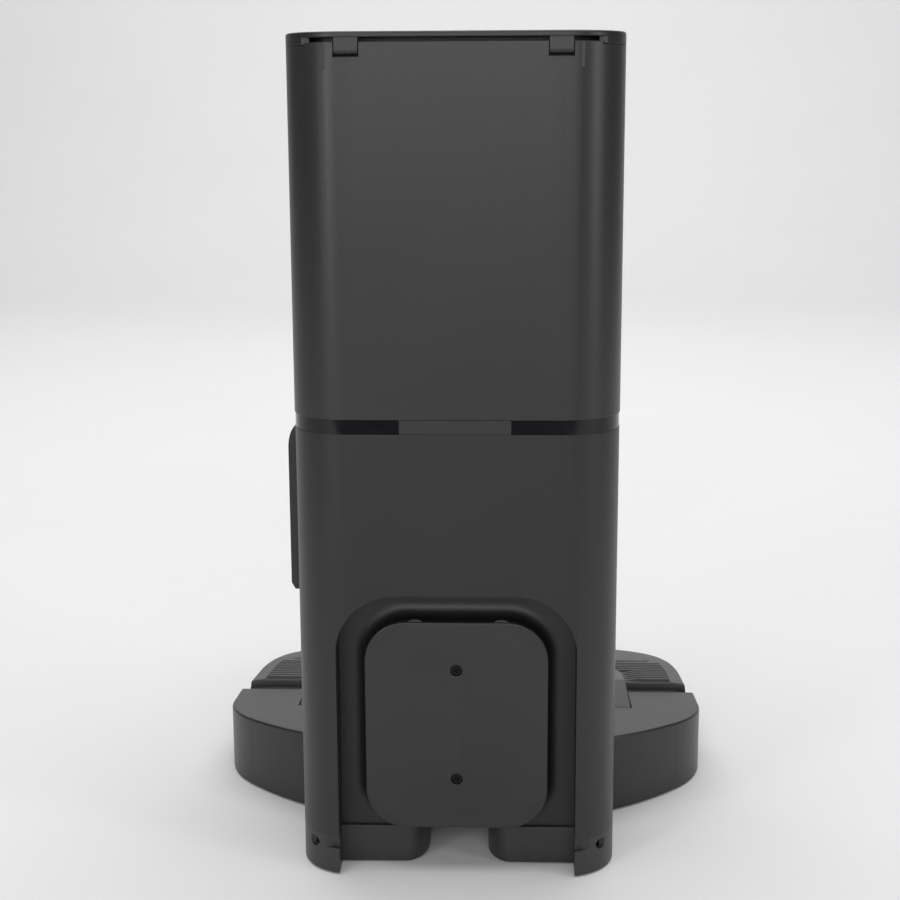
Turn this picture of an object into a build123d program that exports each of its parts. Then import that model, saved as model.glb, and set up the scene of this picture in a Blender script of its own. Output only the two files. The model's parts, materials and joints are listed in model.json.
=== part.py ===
"""Self-emptying dock for a robot vacuum: dust tower, hinged lid, base with wings, ramp.

Units are millimetres. The row frame has +Z up, the rear at +Y and the front (where the robot
drives in) at -Y. Sketches are drawn in three working planes that share one corner of reference,
the middle of the rear face on the floor:
  plan(height)       x = to the right seen from behind, y = distance forward from the rear face
  upright(distance)  x = to the right seen from behind, y = height
  profile(offset)    x = distance forward from the rear face, y = height
"""

import os
from math import atan2, cos, degrees, hypot, radians, sin

from build123d import *

os.makedirs("parts", exist_ok=True)

# ---------------------------------------------------------------- driving dimensions
HEIGHT = 430.0
WALL = 2.5
FOOT_HEIGHT = 1.0
GAP = 0.3
WIDE = 160.0
TALL = 60.0

# Tower
TOWER_WIDTH = 166.0
TOWER_DEPTH = 180.0
TOWER_CORNER = 30.0
LOWER_INSET = 0.2
BAND_INSET = 0.35
PARTING = 21.0
BAND_BOTTOM = 236.2
BAND_TOP = 243.7
BODY_RIM = 425.0
SIDE_RIM = 423.7
LID_EDGE = 427.4

# Round robot that parks against the tower
ROBOT_CENTRE = 234.6
WING_RADIUS = 173.0
ALCOVE_RADIUS = 177.0
ALCOVE_FLOOR = 46.0
ALCOVE_CEILING = 155.0

# Base outline, as a chain of tangent arcs from the rear to the front tip
WING_HALF = 142.5
REAR_ARC_HALF = 47.0
SIDE_RADIUS = 400.0
SIDE_TURN = 5.0
SHOULDER_RADIUS = 180.0
SHOULDER_TURN = 12.0
NOSE_RADIUS = 70.0
NOSE_TURN = 61.0
SIDE_START = 240.0

# Base heights
WING_REAR_TOP = 45.0
WING_REAR = 87.0
WING_FRONT = 186.0
WING_FRONT_TOP = 34.5
TRENCH_FLOOR = 30.0
CREST = 200.0
CREST_TOP = 36.0
GROOVE = 290.0
GROOVE_TOP = 18.9
GROOVE_LENGTH = 246.0
TIP_TOP = 3.0

# Exhaust cover on one side of the tower
EXHAUST_WALL = TOWER_WIDTH / 2 - LOWER_INSET + 0.05
EXHAUST_PROUD = 5.0
EXHAUST_TOP = 234.0
EXHAUST_BOTTOM = 146.0
EXHAUST_REAR = 36.0
EXHAUST_FRONT = 76.0
EXHAUST_BEND = 12.0

# Cord-winding recess, duct cover and cord tunnel at the rear
RECESS_HALF = 61.5
RECESS_TOP = 152.8
RECESS_CORNER = 31.0
RECESS_DEPTH = 19.0
PEDESTAL_DEPTH = 8.2
PEDESTAL_INSET = 1.6
COVE_RADIUS = 8.0
COVER_HALF = 47.2
COVER_BOTTOM = 26.0
COVER_TOP = 138.0
COVER_MIDDLE = (COVER_TOP + COVER_BOTTOM) / 2
COVER_CORNER = 21.0
COVER_REAR = 4.2
BLOCK_REAR = 17.0
TUNNEL_HALF = 16.0
TUNNEL_MOUTH_HALF = 28.0
TUNNEL_MOUTH_DEPTH = 21.0
TUNNEL_END = 92.0
TUNNEL_CEILING = 28.0

# Ridges across the ramp
RIDGE_COUNT = 10
RIDGE_PITCH = 7.4
RIDGE_WIDTH = 3.8
RIDGE_HEIGHT = 1.1
RIDGE_FIRST = 6.5
RIM_WIDTH = 9.0

# Raised deck over the floor duct, with the suction port
DECK_HALF = 101.0
DECK_CENTRE = 226.0
DECK_END = 56.0
DECK_REAR = 147.0
DECK_REAR_TOP = 38.7
DECK_CREST_TOP = 37.6
DECK_TIP_TOP = 22.5
PORT_PLACE = 168.0
PORT_WIDTH = 74.0
PORT_LENGTH = 26.0

# Alcove wall, ducts and access
ALCOVE_BACK = ALCOVE_RADIUS + 2.7
DUCT_HALF = 38.0
ACCESS_HALF = 34.0
ACCESS_HEIGHT = 84.0
ACCESS_TALL = 40.0
COVER_SCREWS = (112.4, 53.2)
COVER_CATCHES = (-21.0, 23.0)

# Air duct up the column, its port for the bag, and the fan
AIR_REAR = 22.0
AIR_FRONT = 51.4
AIR_TOP = 398.0
BAG_PORT = 372.0
BAG_PORT_RADIUS = 22.0
MOTOR_PLACE = 117.0
MOTOR_RADIUS = 31.8
SHAFT_RADIUS = 2.5

# Charging contacts in the alcove wall
CONTACT_PLACE = 52.0
CONTACT_HEIGHT = 64.0
CONTACT_SLOT_HALF = 5.4

# Power inlet at the end of the tunnel
INLET_HEIGHT = 13.0

# Places of the feet and of the bottom screws, across and forward
FOOT_PLACES = [(-72, 32), (72, 32), (-116, 142), (116, 142), (-84, 322), (84, 322), (-28, 348), (28, 348)]
PLATE_SCREWS = [(-60, 110), (60, 110), (-126, 165), (126, 165)]

# Lid hinge
HINGE_SPACING = 102.0
HINGE_WIDTH = 11.5
HINGE_IN = 3.0
HINGE_HEIGHT = 421.3
PIN_RADIUS = 1.0
LINER_BOTTOM = 419.6
LINER_PLACE = 94.0

# ---------------------------------------------------------------- derived base outline
corner_turn = 90.0 - REAR_ARC_HALF
corner_radius = (WING_HALF - WING_RADIUS * sin(radians(REAR_ARC_HALF))) / (1 - sin(radians(REAR_ARC_HALF)))
corner_start = (
    WING_RADIUS * sin(radians(REAR_ARC_HALF)),
    ROBOT_CENTRE - WING_RADIUS * cos(radians(REAR_ARC_HALF)),
)
corner_end = (WING_HALF, corner_start[1] + corner_radius * cos(radians(REAR_ARC_HALF)))
shoulder_start = (
    WING_HALF - SIDE_RADIUS * (1 - cos(radians(SIDE_TURN))),
    SIDE_START + SIDE_RADIUS * sin(radians(SIDE_TURN)),
)
first_turn = radians(SIDE_TURN)
second_turn = radians(SIDE_TURN + SHOULDER_TURN)
third_turn = radians(SIDE_TURN + SHOULDER_TURN + NOSE_TURN)
nose_start = (
    shoulder_start[0] - SHOULDER_RADIUS * (cos(first_turn) - cos(second_turn)),
    shoulder_start[1] + SHOULDER_RADIUS * (sin(second_turn) - sin(first_turn)),
)
nose_end = (
    nose_start[0] - NOSE_RADIUS * (cos(second_turn) - cos(third_turn)),
    nose_start[1] + NOSE_RADIUS * (sin(third_turn) - sin(second_turn)),
)
front_radius = nose_end[0] / cos(third_turn)
DEPTH = nose_end[1] + front_radius * (1 - sin(third_turn))
REAR = DEPTH / 2

FLOOR_PLAN = Plane(origin=(0, REAR, 0), x_dir=(-1, 0, 0), z_dir=(0, 0, 1))
REAR_FACE = Plane(origin=(0, REAR, 0), x_dir=(-1, 0, 0), z_dir=(0, 1, 0))
SIDE_VIEW = Plane(origin=(0, REAR, 0), x_dir=(0, -1, 0), z_dir=(-1, 0, 0))


def plan(height):
    return FLOOR_PLAN.offset(height)


def upright(distance):
    return REAR_FACE.offset(-distance)


def profile(offset=0.0):
    return SIDE_VIEW.offset(offset)


# ---------------------------------------------------------------- outlines and plain solids
def tower_outline(height, inset=0.0):
    """Rounded plan of the tower, drawn in by an inset."""
    with BuildSketch(plan(height)) as outline:
        with Locations((0, TOWER_DEPTH / 2)):
            RectangleRounded(
                TOWER_WIDTH - 2 * inset, TOWER_DEPTH - 2 * inset, TOWER_CORNER - inset
            )
    return outline.sketch


def base_outline(height, inset=0.0):
    """Whole base: the rear arc around the robot, then tangent arcs to the front tip."""
    with BuildSketch(plan(height)) as outline:
        with BuildLine():
            rear = ThreePointArc(
                (0, ROBOT_CENTRE - WING_RADIUS),
                (
                    WING_RADIUS * sin(radians(REAR_ARC_HALF / 2)),
                    ROBOT_CENTRE - WING_RADIUS * cos(radians(REAR_ARC_HALF / 2)),
                ),
                corner_start,
            )
            corner = JernArc(corner_start, rear % 1, corner_radius, corner_turn)
            side = Line(corner @ 1, (WING_HALF, SIDE_START))
            waist = JernArc(side @ 1, (0, 1), SIDE_RADIUS, SIDE_TURN)
            shoulder = JernArc(waist @ 1, waist % 1, SHOULDER_RADIUS, SHOULDER_TURN)
            nose = JernArc(shoulder @ 1, shoulder % 1, NOSE_RADIUS, NOSE_TURN)
            ThreePointArc(
                nose @ 1,
                (
                    front_radius * cos(radians(85)),
                    DEPTH - front_radius * (1 - sin(radians(85))),
                ),
                (0, DEPTH),
            )
            Line((0, DEPTH), (0, ROBOT_CENTRE - WING_RADIUS))
        make_face()
        mirror(about=Plane.YZ)
        if inset:
            offset(amount=-inset, kind=Kind.INTERSECTION)
    return outline.sketch


def deck_outline(height, inset=0.0):
    """Tongue over the floor duct: straight sides and a rounded front."""
    with BuildSketch(plan(height)) as outline:
        half = DECK_HALF - inset
        with BuildLine():
            Polyline((half, DECK_CENTRE), (half, DECK_REAR + inset), (-half, DECK_REAR + inset))
            Line((-half, DECK_REAR + inset), (-half, DECK_CENTRE))
            EllipticalCenterArc((0, DECK_CENTRE), half, DECK_END - inset, 0, arc_size=180)
        make_face()
    return outline.sketch


def block(across, forward, up):
    """Plain block between two places across, two places forward and two heights."""
    with BuildSketch(plan(up[0])) as face:
        with Locations(((across[0] + across[1]) / 2, (forward[0] + forward[1]) / 2)):
            Rectangle(across[1] - across[0], forward[1] - forward[0])
    return extrude(face.sketch, amount=up[1] - up[0], mode=Mode.PRIVATE)


def side_prism(points, half_width):
    """Prism from side to side with the outline drawn as distance forward and height."""
    with BuildSketch(profile()) as face:
        with BuildLine():
            Polyline(*points, close=True)
        make_face()
    return extrude(face.sketch, amount=half_width, both=True, mode=Mode.PRIVATE)


def disc(radius, height, across, forward, up):
    """Upright cylinder standing at one height."""
    with BuildSketch(plan(up)) as face:
        with Locations((across, forward)):
            Circle(radius)
    return extrude(face.sketch, amount=height, mode=Mode.PRIVATE)


def recess_arch(distance, grow=0.0):
    """Outline of the cord-winding recess seen from behind, open towards the floor."""
    top = RECESS_TOP + grow
    with BuildSketch(upright(distance)) as arch:
        with BuildLine():
            FilletPolyline(
                (-RECESS_HALF - grow, 0),
                (-RECESS_HALF - grow, top),
                (RECESS_HALF + grow, top),
                (RECESS_HALF + grow, 0),
                radius=RECESS_CORNER + grow,
            )
            Line((RECESS_HALF + grow, 0), (-RECESS_HALF - grow, 0))
        make_face()
    return arch.sketch


def cover_outline(distance, inset=0.0):
    """Rounded rectangle of the duct cover seen from behind."""
    with BuildSketch(upright(distance)) as outline:
        with Locations((0, COVER_MIDDLE)):
            RectangleRounded(
                2 * (COVER_HALF - inset),
                COVER_TOP - COVER_BOTTOM - 2 * inset,
                COVER_CORNER - inset,
            )
    return outline.sketch


def tunnel_plan(height, grow=0.0):
    """Cord tunnel in plan: rounded mouth between the rear blocks, then straight."""
    half = TUNNEL_HALF + grow
    mouth = TUNNEL_MOUTH_HALF + grow
    bend = BLOCK_REAR + TUNNEL_MOUTH_DEPTH
    with BuildSketch(plan(height)) as tunnel:
        with BuildLine():
            right = EllipticalCenterArc((mouth, bend), mouth - half, TUNNEL_MOUTH_DEPTH, 180, arc_size=90)
            left = EllipticalCenterArc((-mouth, bend), mouth - half, TUNNEL_MOUTH_DEPTH, 270, arc_size=90)
            Line((mouth, BLOCK_REAR), (mouth, 0))
            Line((mouth, 0), (-mouth, 0))
            Line((-mouth, 0), (-mouth, BLOCK_REAR))
            Line((-half, bend), (-half, TUNNEL_END + grow))
            Line((-half, TUNNEL_END + grow), (half, TUNNEL_END + grow))
            Line((half, TUNNEL_END + grow), (half, bend))
        make_face()
    return tunnel.sketch


def tower_block(bottom, top, inset):
    """Solid with the tower's plan between two heights."""
    return extrude(tower_outline(bottom, inset), amount=top - bottom, mode=Mode.PRIVATE)


def across_bar(radius, across, forward, up, length):
    """Round bar lying from side to side, centred on one place across."""
    with BuildSketch(profile(across - length / 2)) as end:
        with Locations((forward, up)):
            Circle(radius)
    return extrude(end.sketch, amount=length, mode=Mode.PRIVATE)


def forward_bar(radius, across, forward, up, length):
    """Round bar that starts at one distance from the rear face and runs forward."""
    with BuildSketch(upright(forward)) as end:
        with Locations((across, up)):
            Circle(radius)
    return extrude(end.sketch, amount=-length, mode=Mode.PRIVATE)


def finish(part, name):
    part.label = name
    export_step(part, f"parts/{name}.step")


def contact_slot(side):
    """Cutter for the slot that one charging contact comes through."""
    across = sorted((side * (CONTACT_PLACE - CONTACT_SLOT_HALF), side * (CONTACT_PLACE + CONTACT_SLOT_HALF)))
    return block(across, (50, 80), (CONTACT_HEIGHT - 3.4, CONTACT_HEIGHT + 3.4))


# ---------------------------------------------------------------- shared cutters
wing_slope = (WING_REAR_TOP - WING_FRONT_TOP) / (WING_FRONT - WING_REAR)


def wing_profile(drop=0.0):
    """Wedge under the sloping wing top."""
    rear_top = WING_REAR_TOP + wing_slope * (WING_REAR - 40)
    return side_prism(
        [(40, 0), (WING_FRONT - drop, 0), (WING_FRONT - drop, WING_FRONT_TOP - drop), (40, rear_top - drop)],
        WIDE,
    )


def ramp_profile(drop=0.0):
    """Wedge under the trench, the crest and the long slope of the ramp."""
    start = WING_FRONT + GAP + drop
    crest = CREST + drop
    return side_prism(
        [
            (start, 0),
            (start, TRENCH_FLOOR - drop),
            (crest, TRENCH_FLOOR - drop),
            (crest, CREST_TOP - drop),
            (GROOVE, GROOVE_TOP - drop),
            (DEPTH + 1, TIP_TOP - drop),
            (DEPTH + 1, 0),
        ],
        WIDE,
    )


def deck_profile(drop=0.0):
    """Wedge under the deck's top."""
    return side_prism(
        [
            (DECK_REAR - 1, 12),
            (DECK_REAR - 1, DECK_REAR_TOP - drop),
            (CREST, DECK_CREST_TOP - drop),
            (DECK_CENTRE + DECK_END + 1, DECK_TIP_TOP - drop),
            (DECK_CENTRE + DECK_END + 1, 12),
        ],
        WIDE,
    )


with BuildPart() as cord_recess:
    extrude(recess_arch(0), amount=-RECESS_DEPTH)
    extrude(cover_outline(PEDESTAL_DEPTH, PEDESTAL_INSET), amount=-TALL, mode=Mode.SUBTRACT)
    floor_level = REAR - RECESS_DEPTH
    cove = cord_recess.edges().filter_by_position(Axis.Y, floor_level - 0.1, floor_level + 0.1)
    cove = [edge for edge in cove if hypot(edge.center().X, edge.center().Z - COVER_MIDDLE) < RECESS_HALF - 1]
    fillet(cove, radius=COVE_RADIUS)
    add(block((-WIDE, WIDE), (-1, 30), (-1, PARTING)), mode=Mode.SUBTRACT)

with BuildPart() as recess_backing:
    extrude(recess_arch(0, WALL), amount=-RECESS_DEPTH - WALL)

with BuildPart() as wing_hollow:
    extrude(base_outline(0, WALL), amount=TALL)
    add(wing_profile(WALL), mode=Mode.INTERSECT)

with BuildPart() as foot_hollow:
    add(tower_block(0, PARTING - WALL, LOWER_INSET + WALL))
    add(disc(WING_RADIUS, 40, 0, ROBOT_CENTRE, 0), mode=Mode.SUBTRACT)
    add(block((-RECESS_HALF - WALL, RECESS_HALF + WALL), (0, BLOCK_REAR + WALL), (0, 40)), mode=Mode.SUBTRACT)
    add(extrude(tunnel_plan(0, WALL), amount=40, mode=Mode.PRIVATE), mode=Mode.SUBTRACT)

with BuildPart() as ramp_hollow:
    extrude(base_outline(0, WALL), amount=TALL)
    add(ramp_profile(WALL), mode=Mode.INTERSECT)

with BuildPart() as column_hollow:
    add(tower_block(PARTING - 1, BAND_BOTTOM + 1, LOWER_INSET + WALL))
    add(disc(ALCOVE_BACK + WALL, ALCOVE_CEILING + WALL - 43.5, 0, ROBOT_CENTRE, 43.5), mode=Mode.SUBTRACT)
    add(disc(WING_RADIUS + GAP + WALL, 43.5, 0, ROBOT_CENTRE, 0), mode=Mode.SUBTRACT)
    add(recess_backing.part, mode=Mode.SUBTRACT)
    tunnel_shell = extrude(tunnel_plan(0, WALL), amount=TUNNEL_CEILING + WALL, mode=Mode.PRIVATE)
    add(tunnel_shell, mode=Mode.SUBTRACT)

with BuildPart() as pedestal_hollow:
    extrude(cover_outline(PEDESTAL_DEPTH + WALL, PEDESTAL_INSET + 3 * WALL), amount=-20)
    access_wall = (ACCESS_HEIGHT - ACCESS_TALL / 2 - WALL, ACCESS_HEIGHT + ACCESS_TALL / 2 + WALL)
    add(block((-ACCESS_HALF - WALL, ACCESS_HALF + WALL), (0, 40), access_wall), mode=Mode.SUBTRACT)
    for screw_height in COVER_SCREWS:
        add(forward_bar(5, 0, 0, screw_height, 40), mode=Mode.SUBTRACT)

# ---------------------------------------------------------------- base
with BuildPart() as base_shell:
    extrude(base_outline(FOOT_HEIGHT), amount=TALL)
    add(wing_profile(), mode=Mode.INTERSECT)
    top_face = base_shell.faces().filter_by(lambda face: 0.9 < face.normal_at().Z < 0.999)[0]
    fillet([edge for edge in top_face.edges() if edge.center().Y > REAR - WING_FRONT + 1], radius=1.2)
    add(tower_block(FOOT_HEIGHT, PARTING, LOWER_INSET))
    add(wing_hollow.part, mode=Mode.SUBTRACT)
    add(foot_hollow.part, mode=Mode.SUBTRACT)
    # Walls of the cord tunnel inside the wings, then the tunnel and the recess themselves
    with BuildSketch(plan(FOOT_HEIGHT)) as tunnel_wall:
        with Locations((0, (60 + TUNNEL_END + WALL) / 2)):
            Rectangle(2 * (TUNNEL_HALF + WALL), TUNNEL_END + WALL - 60)
    extrude(tunnel_wall.sketch, amount=PARTING - FOOT_HEIGHT)
    tunnel_roof = (PARTING, TUNNEL_CEILING + WALL)
    add(block((-TUNNEL_HALF - WALL, TUNNEL_HALF + WALL), (66, TUNNEL_END + WALL), tunnel_roof))
    add(extrude(tunnel_plan(0), amount=TUNNEL_CEILING, mode=Mode.PRIVATE), mode=Mode.SUBTRACT)
    add(block((-RECESS_HALF, RECESS_HALF), (-1, BLOCK_REAR), (0, 60)), mode=Mode.SUBTRACT)
    # Cord notches in the cheeks with a round outlet at the corner
    for side in (-1, 1):
        notch = sorted((side * 58, side * 73))
        add(block(notch, (-1, 5), (14.5, PARTING + 1)), mode=Mode.SUBTRACT)
        add(forward_bar(2.8, side * 75.5, -1, 15.5, 14), mode=Mode.SUBTRACT)
    for x, y in FOOT_PLACES[:2]:
        add(disc(8, PARTING - FOOT_HEIGHT - 1, x, y, FOOT_HEIGHT))
    # Seat for the deck, way for the floor duct, hole for the power inlet
    add(extrude(deck_outline(13, -GAP), amount=TALL, mode=Mode.PRIVATE), mode=Mode.SUBTRACT)
    add(block((-DUCT_HALF - GAP, DUCT_HALF + GAP), (55, 70), (TUNNEL_CEILING + WALL, 44.2)),
        mode=Mode.SUBTRACT)
    add(block((-11, 11), (TUNNEL_END - 1, TUNNEL_END + WALL + 1), (6, 20)), mode=Mode.SUBTRACT)
finish(base_shell.part, "base_shell")

with BuildPart() as base_bottom_plate:
    extrude(base_outline(FOOT_HEIGHT, WALL + GAP), amount=2)
    add(block((-160, 160), (WING_FRONT - WALL - GAP, 460), (0, 10)), mode=Mode.SUBTRACT)
    add(block((-TUNNEL_HALF - WALL - GAP, TUNNEL_HALF + WALL + GAP), (0, TUNNEL_END + WALL + GAP), (0, 10)),
        mode=Mode.SUBTRACT)
    with Locations(*[plan(FOOT_HEIGHT).from_local_coords((x, y, 0)) for x, y in PLATE_SCREWS]):
        CounterSinkHole(1.7, 3.1, depth=3)
finish(base_bottom_plate.part, "base_bottom_plate")

with BuildPart() as rubber_feet:
    for x, y in FOOT_PLACES:
        add(disc(7, FOOT_HEIGHT, x, y, 0))
finish(rubber_feet.part, "rubber_feet")

with BuildPart() as bottom_screws:
    for x, y in PLATE_SCREWS:
        add(disc(1.5, 7, x, y, FOOT_HEIGHT + 0.8))
        add(disc(2.6, 0.8, x, y, FOOT_HEIGHT + 0.2))
finish(bottom_screws.part, "bottom_screws")

# ---------------------------------------------------------------- ramp
ramp_angle = degrees(atan2(CREST_TOP - GROOVE_TOP, GROOVE - CREST))
ramp_length = hypot(CREST_TOP - GROOVE_TOP, GROOVE - CREST)
RAMP_FACE = Plane(
    origin=profile().from_local_coords((CREST, CREST_TOP, 0)),
    x_dir=(-1, 0, 0),
    z_dir=(0, -sin(radians(ramp_angle)), cos(radians(ramp_angle))),
)

with BuildPart() as ridge_area:
    extrude(base_outline(0, RIM_WIDTH), amount=TALL)
    add(extrude(deck_outline(0, -3), amount=TALL, mode=Mode.PRIVATE), mode=Mode.SUBTRACT)

with BuildPart() as ridges:
    with BuildSketch(RAMP_FACE.offset(-0.4)):
        for index in range(RIDGE_COUNT):
            with Locations((0, RIDGE_FIRST + index * RIDGE_PITCH)):
                Rectangle(300, RIDGE_WIDTH)
    extrude(amount=RIDGE_HEIGHT + 0.4)
    add(ridge_area.part, mode=Mode.INTERSECT)

with BuildPart() as ramp_plate:
    extrude(base_outline(FOOT_HEIGHT), amount=TALL)
    add(ramp_profile(), mode=Mode.INTERSECT)
    add(ramp_hollow.part, mode=Mode.SUBTRACT)
    add(ridges.part)
    with BuildSketch(RAMP_FACE.offset(1)):
        with Locations((0, ramp_length - 3)):
            SlotOverall(GROOVE_LENGTH, 4.5)
    extrude(amount=-2.2, mode=Mode.SUBTRACT)
    for x, y in FOOT_PLACES:
        if y > GROOVE:
            add(disc(8, 40, x, y, FOOT_HEIGHT) & ramp_profile(1))
    add(extrude(deck_outline(0, -GAP), amount=TALL, mode=Mode.PRIVATE), mode=Mode.SUBTRACT)
finish(ramp_plate.part, "ramp_plate")

# ---------------------------------------------------------------- deck with the suction port
with BuildPart() as deck_hollow:
    extrude(deck_outline(10, WALL), amount=TALL)
    add(deck_profile(WALL), mode=Mode.INTERSECT)

with BuildPart() as suction_deck:
    extrude(deck_outline(14), amount=TALL)
    add(deck_profile(), mode=Mode.INTERSECT)
    add(deck_hollow.part, mode=Mode.SUBTRACT)
    with BuildSketch(plan(0)) as port:
        with Locations((0, PORT_PLACE)):
            RectangleRounded(PORT_WIDTH, PORT_LENGTH, 8)
    extrude(amount=60, mode=Mode.SUBTRACT)
    add(block((-DUCT_HALF - GAP, DUCT_HALF + GAP), (DECK_REAR - 1, DECK_REAR + 4), (10, 35.6)),
        mode=Mode.SUBTRACT)
finish(suction_deck.part, "suction_deck")

with BuildPart() as suction_port_seal:
    with BuildSketch(plan(34.4)):
        with Locations((0, PORT_PLACE)):
            RectangleRounded(PORT_WIDTH - 0.6, PORT_LENGTH - 0.6, 7.7)
            RectangleRounded(PORT_WIDTH - 5.6, PORT_LENGTH - 5.6, 5.2, mode=Mode.SUBTRACT)
    extrude(amount=7.1)
    fillet(suction_port_seal.edges().group_by(Axis.Z)[-1], radius=0.9)
finish(suction_port_seal.part, "suction_port_seal")

with BuildPart() as floor_duct:
    duct_side = [(52, 31), (96, 31), (186, 17), (186, 32.2), (140, 35.2), (60, 43.6), (52, 43.6)]
    duct_bore = [(51, 32.6), (96.5, 32.6), (184.4, 19), (184.4, 30.8), (140, 33.6), (60, 42), (51, 42)]
    add(side_prism(duct_side, DUCT_HALF))
    add(side_prism(duct_bore, DUCT_HALF - 1.6), mode=Mode.SUBTRACT)
    with BuildSketch(plan(25)):
        with Locations((0, PORT_PLACE)):
            RectangleRounded(PORT_WIDTH - 5.6, PORT_LENGTH - 5.6, 5.2)
    extrude(amount=20, mode=Mode.SUBTRACT)
finish(floor_duct.part, "floor_duct")

# ---------------------------------------------------------------- power inlet and boards in the base
with BuildPart() as power_inlet:
    with BuildSketch(upright(TUNNEL_END + 0.2)):
        with Locations((0, INLET_HEIGHT)):
            RectangleRounded(21.4, 13.4, 3)
    extrude(amount=-18)
    with BuildSketch(upright(TUNNEL_END + WALL)):
        with Locations((0, INLET_HEIGHT)):
            RectangleRounded(28, 19, 2)
    extrude(amount=-2)
    with BuildSketch(upright(TUNNEL_END)):
        with Locations((0, INLET_HEIGHT)):
            SlotOverall(15.6, 8.4)
    extrude(amount=-13, mode=Mode.SUBTRACT)
    for pin_place in (-3.3, 3.3):
        add(forward_bar(1.2, pin_place, TUNNEL_END + 3, INLET_HEIGHT, 12))
finish(power_inlet.part, "power_inlet")

with BuildPart() as power_board:
    add(block((48, 118), (112, 172), (7, 8.6)))
    add(block((54, 78), (118, 140), (8.6, 26)))
    add(disc(6.5, 20, 92, 128, 8.6))
    add(disc(6.5, 20, 108, 128, 8.6))
    add(block((56, 84), (150, 166), (8.6, 22)))
    for x, y in ((51, 115), (115, 115), (51, 169), (115, 169)):
        add(disc(2.5, 4, x, y, FOOT_HEIGHT + 2))
finish(power_board.part, "power_board")

# ---------------------------------------------------------------- lower housing
with BuildPart() as lower_housing:
    add(tower_block(PARTING, BAND_BOTTOM, LOWER_INSET))
    add(disc(WING_RADIUS + GAP, ALCOVE_FLOOR, 0, ROBOT_CENTRE, 0), mode=Mode.SUBTRACT)
    add(disc(ALCOVE_RADIUS, ALCOVE_CEILING - ALCOVE_FLOOR, 0, ROBOT_CENTRE, ALCOVE_FLOOR), mode=Mode.SUBTRACT)
    rebate = disc(ALCOVE_BACK, ALCOVE_CEILING - ALCOVE_FLOOR, 0, ROBOT_CENTRE, ALCOVE_FLOOR)
    add(rebate & block((-80.3, 80.3), (40, 100), (0, 200)), mode=Mode.SUBTRACT)
    add(column_hollow.part, mode=Mode.SUBTRACT)
    add(cord_recess.part, mode=Mode.SUBTRACT)
    add(pedestal_hollow.part, mode=Mode.SUBTRACT)
    add(block((-RECESS_HALF, RECESS_HALF), (-1, RECESS_DEPTH), (0, PARTING + 0.01)), mode=Mode.SUBTRACT)
    add(extrude(tunnel_plan(0), amount=TUNNEL_CEILING, mode=Mode.PRIVATE), mode=Mode.SUBTRACT)
    # Ways through: duct access behind the cover, floor duct, contacts, window, exhaust
    with BuildSketch(upright(0)):
        with Locations((0, ACCESS_HEIGHT)):
            RectangleRounded(2 * ACCESS_HALF, ACCESS_TALL, 6)
    extrude(amount=-RECESS_DEPTH - WALL - 1, mode=Mode.SUBTRACT)
    add(block((-DUCT_HALF - GAP, DUCT_HALF + GAP), (50, 66), (30.7, 44)), mode=Mode.SUBTRACT)
    for side in (-1, 1):
        add(contact_slot(side), mode=Mode.SUBTRACT)
    add(block((-24, 24), (50, 60), (94, 106)), mode=Mode.SUBTRACT)
    add(block((-90, -70), (42, 70), (160, 224)), mode=Mode.SUBTRACT)
    for screw_height in COVER_SCREWS:
        add(forward_bar(1.25, 0, PEDESTAL_DEPTH - 1, screw_height, 11), mode=Mode.SUBTRACT)
finish(lower_housing.part, "lower_housing")

with BuildPart() as alcove_liner:
    add(disc(ALCOVE_BACK - 0.2, ALCOVE_CEILING - ALCOVE_FLOOR - 1, 0, ROBOT_CENTRE, ALCOVE_FLOOR + 0.5))
    add(disc(ALCOVE_RADIUS, 200, 0, ROBOT_CENTRE, 0), mode=Mode.SUBTRACT)
    add(block((-80, 80), (40, 80), (0, 200)), mode=Mode.INTERSECT)
    for side in (-1, 1):
        add(contact_slot(side), mode=Mode.SUBTRACT)
    add(block((-30, 30), (50, 70), (92, 108)), mode=Mode.SUBTRACT)
finish(alcove_liner.part, "alcove_liner")

with BuildPart() as ir_window:
    add(disc(ALCOVE_BACK - 0.3, 15.6, 0, ROBOT_CENTRE, 92.2))
    add(disc(ALCOVE_RADIUS + 0.3, 200, 0, ROBOT_CENTRE, 0), mode=Mode.SUBTRACT)
    add(block((-29.8, 29.8), (40, 80), (0, 200)), mode=Mode.INTERSECT)
finish(ir_window.part, "ir_window")

# ---------------------------------------------------------------- charging contacts
for side, name in ((-1, "contact_left"), (1, "contact_right")):
    with BuildPart() as contact:
        across = side * CONTACT_PLACE
        with BuildSketch(upright(56.2)):
            with Locations((across, CONTACT_HEIGHT)):
                RectangleRounded(10.4, 6.4, 1.5)
        extrude(amount=-12.2)
        fillet(contact.edges().group_by(Axis.Y)[0], radius=1.4)
        add(block((across - 7, across + 7), (54.6, 56.2), (CONTACT_HEIGHT - 5, CONTACT_HEIGHT + 5)))
    finish(contact.part, name)

with BuildPart() as contact_holder:
    for side in (-1, 1):
        across = side * CONTACT_PLACE
        cup = block((across - 9, across + 9), (47.6, 57.4), (CONTACT_HEIGHT - 7, CONTACT_HEIGHT + 7))
        room = block((across - 7.3, across + 7.3), (50, 60), (CONTACT_HEIGHT - 5.3, CONTACT_HEIGHT + 5.3))
        add(cup - room)
finish(contact_holder.part, "contact_holder")


def coil(across, start, length, radius, wire, turns):
    """Round-wire spring along the forward direction."""
    axis_origin = upright(start).from_local_coords((across, CONTACT_HEIGHT, 0))
    with BuildLine() as path:
        Helix(length / turns, length, radius, center=axis_origin, direction=(0, -1, 0))
    with BuildSketch(Plane(origin=path.line @ 0, z_dir=path.line % 0)) as end:
        Circle(wire)
    return sweep(end.sketch, path=path.line, is_frenet=True, mode=Mode.PRIVATE)


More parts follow.
